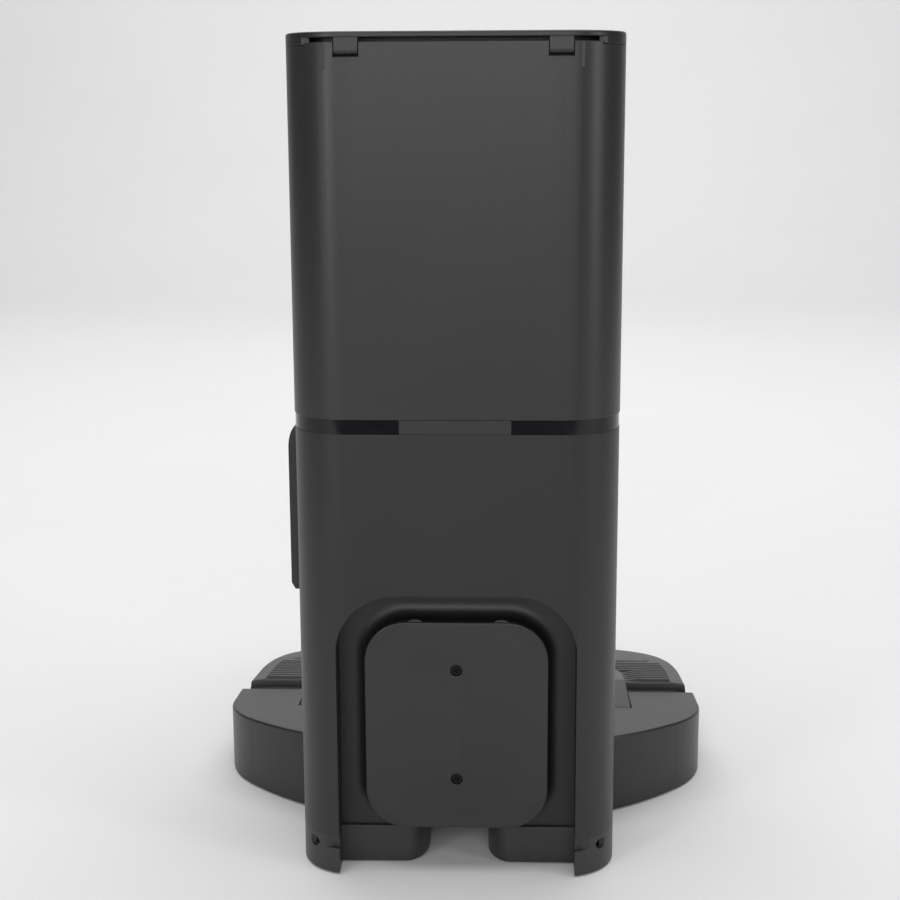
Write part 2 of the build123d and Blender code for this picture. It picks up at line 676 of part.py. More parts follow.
for side, name in ((-1, "contact_spring_left"), (1, "contact_spring_right")):
    with BuildPart() as contact_spring:
        add(coil(side * CONTACT_PLACE, 50.4, 3.8, 3.0, 0.3, 3.5))
    finish(contact_spring.part, name)

# ---------------------------------------------------------------- rear duct cover
with BuildPart() as duct_cover:
    extrude(cover_outline(COVER_REAR), amount=-(PEDESTAL_DEPTH - COVER_REAR))
    fillet(duct_cover.edges().group_by(Axis.Y)[-1], radius=0.8)
    for place in COVER_CATCHES:
        add(forward_bar(8, place, COVER_REAR + 1.2, COVER_TOP - 6.8, 2))
    for screw_height in COVER_SCREWS:
        add(forward_bar(3.1, 0, COVER_REAR - 1, screw_height, 3.2), mode=Mode.SUBTRACT)
        add(forward_bar(1.6, 0, COVER_REAR - 1, screw_height, 8), mode=Mode.SUBTRACT)
finish(duct_cover.part, "duct_cover")

with BuildPart() as duct_cover_seal:
    with BuildSketch(upright(PEDESTAL_DEPTH)):
        with Locations((0, ACCESS_HEIGHT)):
            RectangleRounded(2 * ACCESS_HALF - 0.4, ACCESS_TALL - 0.4, 5.8)
            RectangleRounded(2 * ACCESS_HALF - 5, ACCESS_TALL - 5, 3.5, mode=Mode.SUBTRACT)
    extrude(amount=-4)
finish(duct_cover_seal.part, "duct_cover_seal")

with BuildPart() as duct_cover_screws:
    for screw_height in COVER_SCREWS:
        add(forward_bar(2.7, 0, COVER_REAR + 0.7, screw_height, 1.5))
        add(forward_bar(1.25, 0, COVER_REAR + 2.2, screw_height, 9))
        for spin in (0, 90):
            with BuildSketch(upright(COVER_REAR + 0.7)):
                with Locations(Location((0, screw_height, 0), spin + 20)):
                    Rectangle(3.0, 0.7)
            extrude(amount=-0.9, mode=Mode.SUBTRACT)
finish(duct_cover_screws.part, "duct_cover_screws")

# ---------------------------------------------------------------- dust path up the column
with BuildPart() as air_duct:
    add(block((-DUCT_HALF, DUCT_HALF), (AIR_REAR, AIR_FRONT), (31, AIR_TOP)))
    add(forward_bar(28, 0, AIR_FRONT, BAG_PORT, 6))
    fillet(air_duct.edges().filter_by(Axis.Z), radius=4)
    inner_half = DUCT_HALF - 1.8
    add(block((-inner_half, inner_half), (AIR_REAR + 1.8, AIR_FRONT - 1.8), (32.6, AIR_TOP - 1.8)),
        mode=Mode.SUBTRACT)
    add(forward_bar(BAG_PORT_RADIUS, 0, AIR_FRONT - 5, BAG_PORT, 20), mode=Mode.SUBTRACT)
    add(block((-30, 30), (0, 30), (68, 100)), mode=Mode.SUBTRACT)
    add(block((-inner_half, inner_half), (AIR_FRONT - 5, AIR_FRONT + 5), (32.6, 42)), mode=Mode.SUBTRACT)
finish(air_duct.part, "air_duct")

# ---------------------------------------------------------------- motor compartment
with BuildPart() as motor_mount:
    add(disc(40, 3, 0, MOTOR_PLACE, ALCOVE_CEILING + WALL))
    add(disc(34.4, 12, 0, MOTOR_PLACE, ALCOVE_CEILING + WALL))
    add(disc(32, 20, 0, MOTOR_PLACE, ALCOVE_CEILING + WALL + 3), mode=Mode.SUBTRACT)
    with Locations(plan(ALCOVE_CEILING).from_local_coords((0, MOTOR_PLACE, 0))):
        with PolarLocations(37, 4, start_angle=45):
            Hole(1.6)
finish(motor_mount.part, "motor_mount")

with BuildPart() as fan_motor:
    add(disc(MOTOR_RADIUS, 42, 0, MOTOR_PLACE, 161))
    fillet(fan_motor.edges().group_by(Axis.Z)[0], radius=4)
    add(disc(20, 6, 0, MOTOR_PLACE, 203))
    for turn in range(8):
        angle = radians(turn * 45)
        x, y = MOTOR_RADIUS * cos(angle), MOTOR_PLACE + MOTOR_RADIUS * sin(angle)
        add(disc(3.5, 18, x, y, 174), mode=Mode.SUBTRACT)
    add(disc(SHAFT_RADIUS + 0.05, 30, 0, MOTOR_PLACE, 190), mode=Mode.SUBTRACT)
finish(fan_motor.part, "fan_motor")

with BuildPart() as motor_shaft:
    add(disc(SHAFT_RADIUS, 32, 0, MOTOR_PLACE, 195))
finish(motor_shaft.part, "motor_shaft")

with BuildPart() as impeller:
    add(disc(41, 1.6, 0, MOTOR_PLACE, 213))
    add(disc(7, 15, 0, MOTOR_PLACE, 212))
    with BuildSketch(plan(214.5)):
        with Locations((0, MOTOR_PLACE)):
            with PolarLocations(23, 9):
                Rectangle(32, 1.4, rotation=28)
    extrude(amount=10)
    add(disc(SHAFT_RADIUS, 40, 0, MOTOR_PLACE, 195), mode=Mode.SUBTRACT)
finish(impeller.part, "impeller")

with BuildPart() as fan_shroud:
    add(disc(47, 34, 0, MOTOR_PLACE, 209.2))
    add(disc(44.5, 29.5, 0, MOTOR_PLACE, 211.2), mode=Mode.SUBTRACT)
    add(disc(22, 60, 0, MOTOR_PLACE, 200), mode=Mode.SUBTRACT)
    with BuildSketch(plan(200)):
        with Locations((0, MOTOR_PLACE)):
            with PolarLocations(37, 12):
                Circle(3.2)
    extrude(amount=12, mode=Mode.SUBTRACT)
finish(fan_shroud.part, "fan_shroud")

with BuildPart() as control_board:
    add(block((66, 67.6), (75, 150), (164, 226)))
    add(block((60, 66), (84, 104), (172, 190)))
    add(block((63, 66), (112, 128), (196, 212)))
    add(block((58, 66), (134, 146), (170, 182)))
    add(block((67.6, 80.3), (76, 79), (166, 169)))
    add(block((67.6, 80.3), (146, 149), (166, 169)))
    add(block((67.6, 80.3), (76, 79), (221, 224)))
    add(block((67.6, 80.3), (146, 149), (221, 224)))
finish(control_board.part, "control_board")

# ---------------------------------------------------------------- exhaust on one side
with BuildPart() as exhaust_filter:
    add(block((-80, -77), (38, 74), (158, 228)))
    for pleat in range(16):
        add(block((-77, -68), (40.5, 71.5), (160 + 4.2 * pleat, 162.6 + 4.2 * pleat)))
    add(block((-80, -68), (38, 40.5), (158, 228)))
    add(block((-80, -68), (71.5, 74), (158, 228)))
finish(exhaust_filter.part, "exhaust_filter")

with BuildPart() as exhaust_cover:
    with BuildSketch(upright(EXHAUST_REAR)):
        with BuildLine():
            Polyline(
                (-EXHAUST_WALL, EXHAUST_TOP),
                (-EXHAUST_WALL, EXHAUST_BOTTOM),
                (-EXHAUST_WALL - EXHAUST_PROUD + 2, EXHAUST_BOTTOM),
                (-EXHAUST_WALL - EXHAUST_PROUD, EXHAUST_BOTTOM + 3.5),
                (-EXHAUST_WALL - EXHAUST_PROUD, EXHAUST_TOP - EXHAUST_BEND),
            )
            bend_centre = (-EXHAUST_WALL, EXHAUST_TOP - EXHAUST_BEND)
            EllipticalCenterArc(bend_centre, EXHAUST_PROUD, EXHAUST_BEND, 90, arc_size=90)
        make_face()
    extrude(amount=EXHAUST_REAR - EXHAUST_FRONT)
    for slot in range(7):
        height = 164 + 8 * slot
        add(block((-95, 2 - EXHAUST_WALL - EXHAUST_PROUD), (43, 69), (height, height + 2.6)),
            mode=Mode.SUBTRACT)
        add(block((-95, -80), (46, 66), (height + 0.6, height + 2)), mode=Mode.SUBTRACT)
finish(exhaust_cover.part, "exhaust_cover")

# ---------------------------------------------------------------- band between the housings
with BuildPart() as accent_band:
    add(tower_block(BAND_BOTTOM, BAND_TOP, BAND_INSET) - tower_block(BAND_BOTTOM, BAND_TOP, 5))
    add(block((-28, 28), (-1, 3), (0, 300)), mode=Mode.SUBTRACT)
    add(block((-9, 9), (TOWER_DEPTH - 2, TOWER_DEPTH + 1), (0, 300)), mode=Mode.SUBTRACT)
finish(accent_band.part, "accent_band")

with BuildPart() as band_insert:
    add(block((-27.8, 27.8), (LOWER_INSET, 2.9), (BAND_BOTTOM + 0.2, BAND_TOP - 0.2)))
finish(band_insert.part, "band_insert")

with BuildPart() as status_light:
    light_front = TOWER_DEPTH - BAND_INSET
    add(block((-8.9, 8.9), (TOWER_DEPTH - 1.9, light_front), (BAND_BOTTOM + 0.3, BAND_TOP - 0.3)))
finish(status_light.part, "status_light")

# ---------------------------------------------------------------- upper housing and dust bay
HINGE_PLACES = (-HINGE_SPACING / 2, HINGE_SPACING / 2)
SKIRT_START = 6.0
SKIRT_CLEARANCE = 1.4

with BuildPart() as upper_housing:
    add(tower_block(BAND_TOP, BODY_RIM, 0) - tower_block(BAND_TOP, BODY_RIM, WALL))
    rim_step = block((-WIDE, WIDE), (SKIRT_START, 200), (SIDE_RIM, 440))
    add(rim_step, mode=Mode.SUBTRACT)
    for place in HINGE_PLACES:
        add(block((place - 11, place + 11), (1, 9.5), (413, SIDE_RIM)))
        add(block((place - 11, place + 11), (1, SKIRT_START), (413, BODY_RIM)))
        add(block((place - 6.1, place + 6.1), (-1, 7), (418, 440)), mode=Mode.SUBTRACT)
        add(across_bar(PIN_RADIUS, place, HINGE_IN, HINGE_HEIGHT, 19), mode=Mode.SUBTRACT)
finish(upper_housing.part, "upper_housing")

with BuildPart() as hinge_pins:
    for place in HINGE_PLACES:
        add(across_bar(PIN_RADIUS, place, HINGE_IN, HINGE_HEIGHT, 19))
finish(hinge_pins.part, "hinge_pins")

with BuildPart() as bay_floor:
    add(tower_block(BAND_TOP, BAND_TOP + 3, WALL + GAP))
    add(block((-DUCT_HALF - 0.2, DUCT_HALF + 0.2), (AIR_REAR - 0.2, AIR_FRONT + 0.2), (0, 300)),
        mode=Mode.SUBTRACT)
    for ring in range(1, 4):
        with BuildSketch(plan(BAND_TOP - 1)):
            with Locations((0, MOTOR_PLACE)):
                with PolarLocations(11 * ring, 6 * ring):
                    Circle(3.6)
        extrude(amount=6, mode=Mode.SUBTRACT)
finish(bay_floor.part, "bay_floor")

with BuildPart() as pre_motor_filter:
    with BuildSketch(plan(BAND_TOP + 3.1)):
        with Locations((0, MOTOR_PLACE)):
            RectangleRounded(100, 96, 10)
    extrude(amount=8)
    fillet(pre_motor_filter.edges().group_by(Axis.Z)[-1], radius=1.5)
finish(pre_motor_filter.part, "pre_motor_filter")

with BuildPart() as bag_rail:
    add(block((-61, 61), (57.6, 66.4), (300, 411)))
    add(block((-55.4, 55.4), (60, 63.8), (306, 412)), mode=Mode.SUBTRACT)
    add(block((-49, 49), (60, 70), (313, 412)), mode=Mode.SUBTRACT)
    add(block((-29, 29), (50, 62), (343, 412)), mode=Mode.SUBTRACT)
finish(bag_rail.part, "bag_rail")

with BuildPart() as bag_port_gasket:
    add(forward_bar(27.5, 0, AIR_FRONT + 6.1, BAG_PORT, 2.3) - forward_bar(23, 0, AIR_FRONT, BAG_PORT, 20))
finish(bag_port_gasket.part, "bag_port_gasket")

with BuildPart() as bag_collar:
    add(block((-55, 55), (60.4, 63.4), (306.3, 404)))
    add(block((-16, 16), (60.4, 63.4), (404, 408)))
    add(forward_bar(BAG_PORT_RADIUS, 0, 50, BAG_PORT, 30), mode=Mode.SUBTRACT)
finish(bag_collar.part, "bag_collar")

with BuildPart() as dust_bag:
    with BuildSketch(plan(258)):
        with Locations((0, 121)):
            RectangleRounded(148, 102, 22)
    extrude(amount=144)
    fillet(dust_bag.edges().filter_by(Axis.Z, reverse=True), radius=12)
    add(forward_bar(30, 0, 63.4, BAG_PORT, 12))
    add(forward_bar(BAG_PORT_RADIUS, 0, 60, BAG_PORT, 18), mode=Mode.SUBTRACT)
finish(dust_bag.part, "dust_bag")

# ---------------------------------------------------------------- lid
with BuildPart() as lid:
    add(tower_block(LID_EDGE, HEIGHT, 0))
    fillet(lid.edges().group_by(Axis.Z)[-1], radius=1.2)
    skirt = tower_block(SIDE_RIM + GAP, LID_EDGE, 0) - tower_block(SIDE_RIM + GAP, LID_EDGE, WALL)
    add(skirt - block((-WIDE, WIDE), (-1, SKIRT_START + SKIRT_CLEARANCE), (0, 500)))
    for place in HINGE_PLACES:
        with BuildSketch(profile(place - HINGE_WIDTH / 2)):
            with Locations((HINGE_IN, HINGE_HEIGHT)):
                Circle(2.4)
            with Locations((HINGE_IN, (HINGE_HEIGHT + LID_EDGE) / 2)):
                Rectangle(4.8, LID_EDGE - HINGE_HEIGHT)
            with Locations((HINGE_IN, HINGE_HEIGHT)):
                Circle(PIN_RADIUS + 0.05, mode=Mode.SUBTRACT)
        extrude(amount=HINGE_WIDTH)
finish(lid.part, "lid")

with BuildPart() as lid_liner:
    with BuildSketch(plan(LINER_BOTTOM)):
        with Locations((0, LINER_PLACE)):
            RectangleRounded(154, 164, 24)
    extrude(amount=LID_EDGE - LINER_BOTTOM)
    with BuildSketch(plan(LINER_BOTTOM + 1.8)):
        with Locations((0, LINER_PLACE)):
            RectangleRounded(150, 160, 22)
    extrude(amount=10, mode=Mode.SUBTRACT)
finish(lid_liner.part, "lid_liner")

with BuildPart() as lid_seal:
    with BuildSketch(plan(421)):
        with Locations((0, LINER_PLACE)):
            RectangleRounded(158.4, 166.4, 26)
            RectangleRounded(154, 164, 24, mode=Mode.SUBTRACT)
    extrude(amount=2.4)
finish(lid_seal.part, "lid_seal")

# ---------------------------------------------------------------- lid switch
with BuildPart() as lid_switch:
    add(block((32, 50), (172.6, TOWER_DEPTH - WALL), (398, 414)))
    add(block((36, 46), (173.4, 176.8), (404, 420)), mode=Mode.SUBTRACT)
finish(lid_switch.part, "lid_switch")

with BuildPart() as lid_switch_button:
    add(block((36.3, 45.7), (173.7, 176.5), (406, 419.2)))
    fillet(lid_switch_button.edges().group_by(Axis.Z)[-1], radius=1.2)
finish(lid_switch_button.part, "lid_switch_button")

with BuildPart() as housing_screws:
    for x, y in ((-70, 26), (70, 26), (-60, 170), (60, 170)):
        add(disc(1.5, 10, x, y, BAND_BOTTOM - 8))
        add(disc(2.8, 1.6, x, y, BAND_BOTTOM + 2))
finish(housing_screws.part, "housing_screws")
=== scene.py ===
"""Looks of the robot vacuum auto-empty dock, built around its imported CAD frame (metres, +Z up)."""

import json
import math

import bmesh
import bpy
import numpy as np
from mathutils import Matrix, Vector


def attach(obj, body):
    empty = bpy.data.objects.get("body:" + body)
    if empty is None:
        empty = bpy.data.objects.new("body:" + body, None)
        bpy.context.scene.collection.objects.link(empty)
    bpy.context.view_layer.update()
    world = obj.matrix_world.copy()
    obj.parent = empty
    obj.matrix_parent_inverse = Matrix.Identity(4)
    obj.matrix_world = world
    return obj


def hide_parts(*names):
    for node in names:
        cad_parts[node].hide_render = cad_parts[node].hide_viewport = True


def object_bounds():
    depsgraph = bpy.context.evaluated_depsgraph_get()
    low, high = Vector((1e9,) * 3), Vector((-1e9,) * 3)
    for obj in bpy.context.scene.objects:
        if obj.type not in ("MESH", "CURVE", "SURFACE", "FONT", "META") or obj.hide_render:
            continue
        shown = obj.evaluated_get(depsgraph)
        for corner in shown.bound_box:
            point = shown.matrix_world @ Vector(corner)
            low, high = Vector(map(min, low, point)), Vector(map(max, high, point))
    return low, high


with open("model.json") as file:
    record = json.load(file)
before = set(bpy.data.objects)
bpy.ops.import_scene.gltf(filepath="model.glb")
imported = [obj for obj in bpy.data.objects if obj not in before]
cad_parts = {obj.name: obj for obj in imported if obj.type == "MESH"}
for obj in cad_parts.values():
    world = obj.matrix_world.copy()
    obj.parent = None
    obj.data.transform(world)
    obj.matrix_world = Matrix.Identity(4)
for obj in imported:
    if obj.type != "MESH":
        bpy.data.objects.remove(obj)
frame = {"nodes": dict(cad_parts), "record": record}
cad_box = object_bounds()
nodes = frame["nodes"]
MM = 0.001
REAR = cad_box[1][1]


# ---------------------------------------------------------------- node helpers
class Shader:
    """A material's node tree, with short calls for the nodes used here."""

    def __init__(self, name):
        self.material = bpy.data.materials.new(name)
        self.material.use_nodes = True
        self.tree = self.material.node_tree
        self.surface = self.tree.nodes["Principled BSDF"]
        self.place = self.tree.nodes.new("ShaderNodeTexCoord").outputs["Object"]

    def node(self, kind, **settings):
        made = self.tree.nodes.new(kind)
        for key, value in settings.items():
            setattr(made, key, value)
        return made

    def link(self, source, target):
        self.tree.links.new(source, target)

    def noise(self, scale, detail=4.0, rough=0.55, stretch=None):
        made = self.node("ShaderNodeTexNoise")
        made.inputs["Scale"].default_value = scale
        made.inputs["Detail"].default_value = detail
        made.inputs["Roughness"].default_value = rough
        source = self.place
        if stretch:
            mapping = self.node("ShaderNodeMapping")
            mapping.inputs["Scale"].default_value = stretch
            self.link(self.place, mapping.inputs["Vector"])
            source = mapping.outputs["Vector"]
        self.link(source, made.inputs["Vector"])
        return made.outputs["Fac"]

    def voronoi(self, scale, feature="F1"):
        made = self.node("ShaderNodeTexVoronoi", feature=feature)
        made.inputs["Scale"].default_value = scale
        self.link(self.place, made.inputs["Vector"])
        return made.outputs["Distance"]

    def spread(self, source, low, high, start=0.0, end=1.0):
        """Map a 0..1 signal, clipped between start and end, to low..high."""
        made = self.node("ShaderNodeMapRange")
        made.inputs["From Min"].default_value = start
        made.inputs["From Max"].default_value = end
        made.inputs["To Min"].default_value = low
        made.inputs["To Max"].default_value = high
        self.link(source, made.inputs["Value"])
        return made.outputs["Result"]

    def blend(self, fac, first, second):
        made = self.node("ShaderNodeMix", data_type="RGBA")
        made.inputs["A"].default_value = (*first, 1)
        made.inputs["B"].default_value = (*second, 1)
        self.link(fac, made.inputs["Factor"])
        return made.outputs["Result"]

    def blend_over(self, fac, base, second):
        made = self.node("ShaderNodeMix", data_type="RGBA")
        self.link(base, made.inputs["A"])
        made.inputs["B"].default_value = (*second, 1)
        self.link(fac, made.inputs["Factor"])
        return made.outputs["Result"]

    def maths(self, operation, first, second):
        made = self.node("ShaderNodeMath", operation=operation)
        for value, socket in ((first, made.inputs[0]), (second, made.inputs[1])):
            if isinstance(value, (int, float)):
                socket.default_value = value
            else:
                self.link(value, socket)
        return made.outputs["Value"]

    def edge_wear(self, strength=1.0):
        """Bright on convex edges, from the mesh's own pointiness."""
        geometry = self.node("ShaderNodeNewGeometry")
        return self.spread(geometry.outputs["Pointiness"], 0.0, strength, 0.52, 0.62)

    def bump(self, *layers, edge=0.0):
        """Stack of (height signal, strength, distance in metres), over edges rounded by a radius."""
        normal = None
        if edge:
            rounded = self.node("ShaderNodeBevel", samples=6)
            rounded.inputs["Radius"].default_value = edge
            normal = rounded.outputs["Normal"]
        for height, strength, distance in layers:
            made = self.node("ShaderNodeBump")
            made.inputs["Strength"].default_value = strength
            made.inputs["Distance"].default_value = distance
            self.link(height, made.inputs["Height"])
            if normal:
                self.link(normal, made.inputs["Normal"])
            normal = made.outputs["Normal"]
        self.link(normal, self.surface.inputs["Normal"])

    def colour(self, source):
        self.link(source, self.surface.inputs["Base Color"])

    def rough(self, source):
        self.link(source, self.surface.inputs["Roughness"])


def grained_plastic(name, dark, light, rough, grain, specular=0.5):
    """Moulded plastic with spark-eroded grain, faint dust and rubbed edges."""
    look = Shader(name)
    fine = look.noise(2600, 2, 0.6)
    coarse = look.noise(900, 3, 0.6)
    cloud = look.noise(9, 5, 0.6)
    tone = look.blend(look.spread(cloud, 0, 1, 0.3, 0.7), dark, light)
    speck = look.spread(look.noise(1500, 2, 0.5), 0, 0.10, 0.62, 0.74)
    tone = look.blend_over(speck, tone, tuple(4 * c + 0.05 for c in light))
    look.colour(look.blend_over(look.edge_wear(0.25), tone, tuple(2.2 * c + 0.01 for c in light)))
    uneven = look.spread(cloud, rough - 0.03, rough + 0.04)
    look.rough(look.maths("ADD", uneven, look.spread(fine, -0.06, 0.06)))
    look.bump((coarse, grain, 0.00012), (fine, grain * 0.8, 0.00006), edge=0.0006)
    look.surface.inputs["Specular IOR Level"].default_value = specular
    return look.material


def gloss_plastic(name, base, rough=0.06):
    look = Shader(name)
    smear = look.noise(25, 6, 0.65, stretch=(1, 1, 3))
    look.colour(look.blend(smear, base, tuple(1.5 * c + 0.002 for c in base)))
    look.rough(look.spread(smear, rough, rough + 0.10, 0.35, 0.75))
    look.bump((look.noise(60, 2, 0.5), 0.05, 0.0002))
    look.surface.inputs["Coat Weight"].default_value = 0.1
    look.surface.inputs["Coat Roughness"].default_value = 0.04
    look.surface.inputs["Specular IOR Level"].default_value = 0.3
    return look.material


def plain_moulded(name, dark, light, rough=0.5):
    look = Shader(name)
    cloud = look.noise(14, 4, 0.6)
    look.colour(look.blend(cloud, dark, light))
    look.rough(look.spread(cloud, rough - 0.08, rough + 0.08))
    look.bump((look.noise(1400, 2, 0.5), 0.15, 0.00008), (look.noise(120, 2, 0.5), 0.04, 0.0003))
    return look.material


def soft_rubber(name):
    look = Shader(name)
    bloom = look.noise(40, 5, 0.7)
    look.colour(look.blend(bloom, (0.012, 0.012, 0.012), (0.035, 0.034, 0.033)))
    look.rough(look.spread(bloom, 0.62, 0.82))
    look.bump((look.noise(1100, 3, 0.6), 0.25, 0.0001))
    return look.material


def brushed(name, base, rough, streak=(1, 1, 30), metal=1.0):
    look = Shader(name)
    lines = look.noise(500, 3, 0.6, stretch=streak)
    look.colour(look.blend(lines, tuple(0.75 * c for c in base), base))
    look.rough(look.spread(lines, rough - 0.08, rough + 0.12))
    look.bump((lines, 0.15, 0.00004))
    look.surface.inputs["Metallic"].default_value = metal
    return look.material


def circuit_board(name):
    look = Shader(name)
    cells = look.voronoi(420, "F1")
    look.colour(look.blend(look.spread(cells, 0, 1, 0.02, 0.5), (0.02, 0.10, 0.035), (0.008, 0.05, 0.018)))
    look.rough(look.spread(look.noise(300), 0.25, 0.45))
    look.bump((cells, 0.3, 0.0002))
    return look.material


def foam(name):
    look = Shader(name)
    cells = look.voronoi(900)
    # the cell pits are painted darker than the cell walls: painted shade in the pores
    look.colour(look.blend(look.spread(cells, 0, 1, 0.0, 0.7), (0.01, 0.01, 0.012), (0.10, 0.105, 0.115)))
    look.rough(look.spread(cells, 0.85, 1.0))
    look.bump((cells, 0.9, 0.0008))
    return look.material


def fibre_paper(name, dark, light, scale=700):
    look = Shader(name)
    fibres = look.noise(scale, 6, 0.75, stretch=(1, 1, 0.25))
    flecks = look.noise(120, 4, 0.7)
    look.colour(look.blend(look.spread(flecks, 0, 1, 0.3, 0.8), dark, light))
    look.rough(look.spread(fibres, 0.82, 0.98))
    look.bump((fibres, 0.45, 0.00018))
    return look.material


def bag_cloth(name):
    """Thermally bonded non-woven: small diamond bond points over a felt of fibres."""
    look = Shader(name)
    fibres = look.noise(1500, 6, 0.8)
    bonds = look.voronoi(520, "F1")
    dust = look.noise(16, 5, 0.65)
    tone = look.blend(look.spread(dust, 0, 1, 0.3, 0.75), (0.56, 0.55, 0.52), (0.74, 0.735, 0.71))
    look.colour(look.blend_over(look.spread(bonds, 0.30, 0.0, 0.0, 0.35), tone, (0.42, 0.42, 0.41)))
    look.rough(look.spread(fibres, 0.86, 1.0))
    look.bump((bonds, 0.5, 0.0004), (fibres, 0.4, 0.0002))
    look.surface.inputs["Sheen Weight"].default_value = 0.25
    look.surface.inputs["Sheen Roughness"].default_value = 0.5
    return look.material


def status_lens(name):
    look = Shader(name)
    haze = look.noise(200, 3, 0.6)
    look.colour(look.blend(haze, (0.62, 0.66, 0.70), (0.80, 0.83, 0.86)))
    look.rough(look.spread(haze, 0.25, 0.4))
    look.bump((haze, 0.1, 0.0001))
    look.surface.inputs["Emission Color"].default_value = (0.75, 0.88, 1.0, 1)
    look.surface.inputs["Emission Strength"].default_value = 0.15
    return look.material


materials = {
    "body_plastic": grained_plastic(
        "body_plastic", (0.0100, 0.0100, 0.0102), (0.0130, 0.0130, 0.0132), 0.36, 0.35
    ),
    # darker copy of the body plastic for the lower housing: painted shade, standing in for the lower part
    # getting less light from above
    "lower_plastic_painted_shade": grained_plastic(
        "lower_plastic_painted_shade", (0.0055, 0.0055, 0.0057), (0.0075, 0.0075, 0.0077), 0.40, 0.35
    ),
    # darker than the base plastic: painted shade standing in for the shadows in the ramp's ridge grooves
    "ramp_plastic_painted_shade": grained_plastic(
        "ramp_plastic_painted_shade", (0.0080, 0.0080, 0.0082), (0.0110, 0.0110, 0.0112), 0.42, 0.4
    ),
    "black_steel": brushed("black_steel", (0.02, 0.02, 0.021), 0.34),
    "base_plastic": grained_plastic(
        "base_plastic", (0.0125, 0.0125, 0.0127), (0.0165, 0.0165, 0.0167), 0.38, 0.4
    ),
    "gloss_band": gloss_plastic("gloss_band", (0.004, 0.004, 0.005)),
    "inner_plastic": plain_moulded("inner_plastic", (0.055, 0.056, 0.060), (0.075, 0.076, 0.080)),
    "clear_lens": status_lens("clear_lens"),
    "window": gloss_plastic("window", (0.012, 0.003, 0.004), 0.08),
    "rubber": soft_rubber("rubber"),
    "steel": brushed("steel", (0.10, 0.10, 0.102), 0.30),
    "contact": brushed("contact", (0.80, 0.76, 0.68), 0.18, (30, 1, 1)),
    "motor_metal": brushed("motor_metal", (0.62, 0.63, 0.65), 0.34, (1, 1, 14)),
    "board": circuit_board("board"),
    "foam": foam("foam"),
    "filter_paper": fibre_paper("filter_paper", (0.72, 0.71, 0.66), (0.84, 0.83, 0.79)),
    "card": fibre_paper("card", (0.55, 0.50, 0.42), (0.66, 0.61, 0.52), 400),
    "bag_cloth": bag_cloth("bag_cloth"),
}

# nodes whose look differs from the rest of their material slot; the lower housing's darker plastic is painted
# shade
own_looks = {"lower_housing": "lower_plastic_painted_shade", "duct_cover_screws": "black_steel"}
for subpart in frame["record"]["subparts"]:
    data = nodes[subpart["node"]].data
    data.materials.clear()
    slot = subpart["material_slot"]
    look = own_looks.get(subpart["node"], slot)
    data.materials.append(materials[look])


# ---------------------------------------------------------------- mesh helpers
def row(across, forward, up):
    """From millimetres right of, forward of and above the middle of the rear edge, to the row frame."""
    return Vector((-across * MM, REAR - forward * MM, up * MM))


def as_object(name, mesh, material, sharp_degrees=32.0, closed=True):
    """Object from a bmesh, smooth except across edges sharper than the given angle."""
    if closed:
        bmesh.ops.recalc_face_normals(mesh, faces=mesh.faces)
    for face in mesh.faces:
        face.smooth = True
    for edge in mesh.edges:
        if len(edge.link_faces) == 2 and edge.calc_face_angle(0.0) > math.radians(sharp_degrees):
            edge.smooth = False
    data = bpy.data.meshes.new(name)
    mesh.to_mesh(data)
    mesh.free()
    made = bpy.data.objects.new(name, data)
    bpy.context.scene.collection.objects.link(made)
    data.materials.append(material)
    return made


def baked(piece, sharp_degrees=32.0):
    """Apply a piece's modifiers to its mesh."""
    view_layer = bpy.context.view_layer
    view_layer.update()
    flat = bpy.data.meshes.new_from_object(piece.evaluated_get(bpy.context.evaluated_depsgraph_get()))
    piece.modifiers.clear()
    mesh = bmesh.new()
    mesh.from_mesh(flat)
    for face in mesh.faces:
        face.smooth = True
    sharp = math.radians(sharp_degrees)
    for edge in mesh.edges:
        edge.smooth = not (len(edge.link_faces) == 2 and edge.calc_face_angle(0.0) > sharp)
    mesh.to_mesh(piece.data)
    mesh.free()


def cut(piece, cutter):
    """Take a closed cutter away from a closed piece, then drop the cutter."""
    boolean = piece.modifiers.new("cut", "BOOLEAN")
    boolean.operation = "DIFFERENCE"
    boolean.solver = "EXACT"
    boolean.object = cutter
    baked(piece)
    bpy.data.objects.remove(cutter)


def prism(name, outline, low, high):
    """Upright prism over a plan outline given as (across, forward) points."""
    mesh = bmesh.new()
    lower = [mesh.verts.new(row(u, v, low)) for u, v in outline]
    upper = [mesh.verts.new(row(u, v, high)) for u, v in outline]
    mesh.faces.new(lower)
    mesh.faces.new(upper)
    for index in range(len(outline)):
        after = (index + 1) % len(outline)
        mesh.faces.new((lower[index], lower[after], upper[after], upper[index]))
    return as_object(name, mesh, materials["base_plastic"])


def distance_to(outline, points):
    """Shortest distance in plan from each point to a closed outline."""
    start = np.array(outline)
    span = np.roll(start, -1, axis=0) - start
    length = np.maximum((span ** 2).sum(axis=1), 1e-9)
    best = np.full(len(points), 1e9)
    for corner, reach, size in zip(start, span, length):
        along = np.clip(((points - corner) @ reach) / size, 0, 1)
        gap = np.linalg.norm(points - corner - along[:, None] * reach, axis=1)
        best = np.minimum(best, gap)
    return best


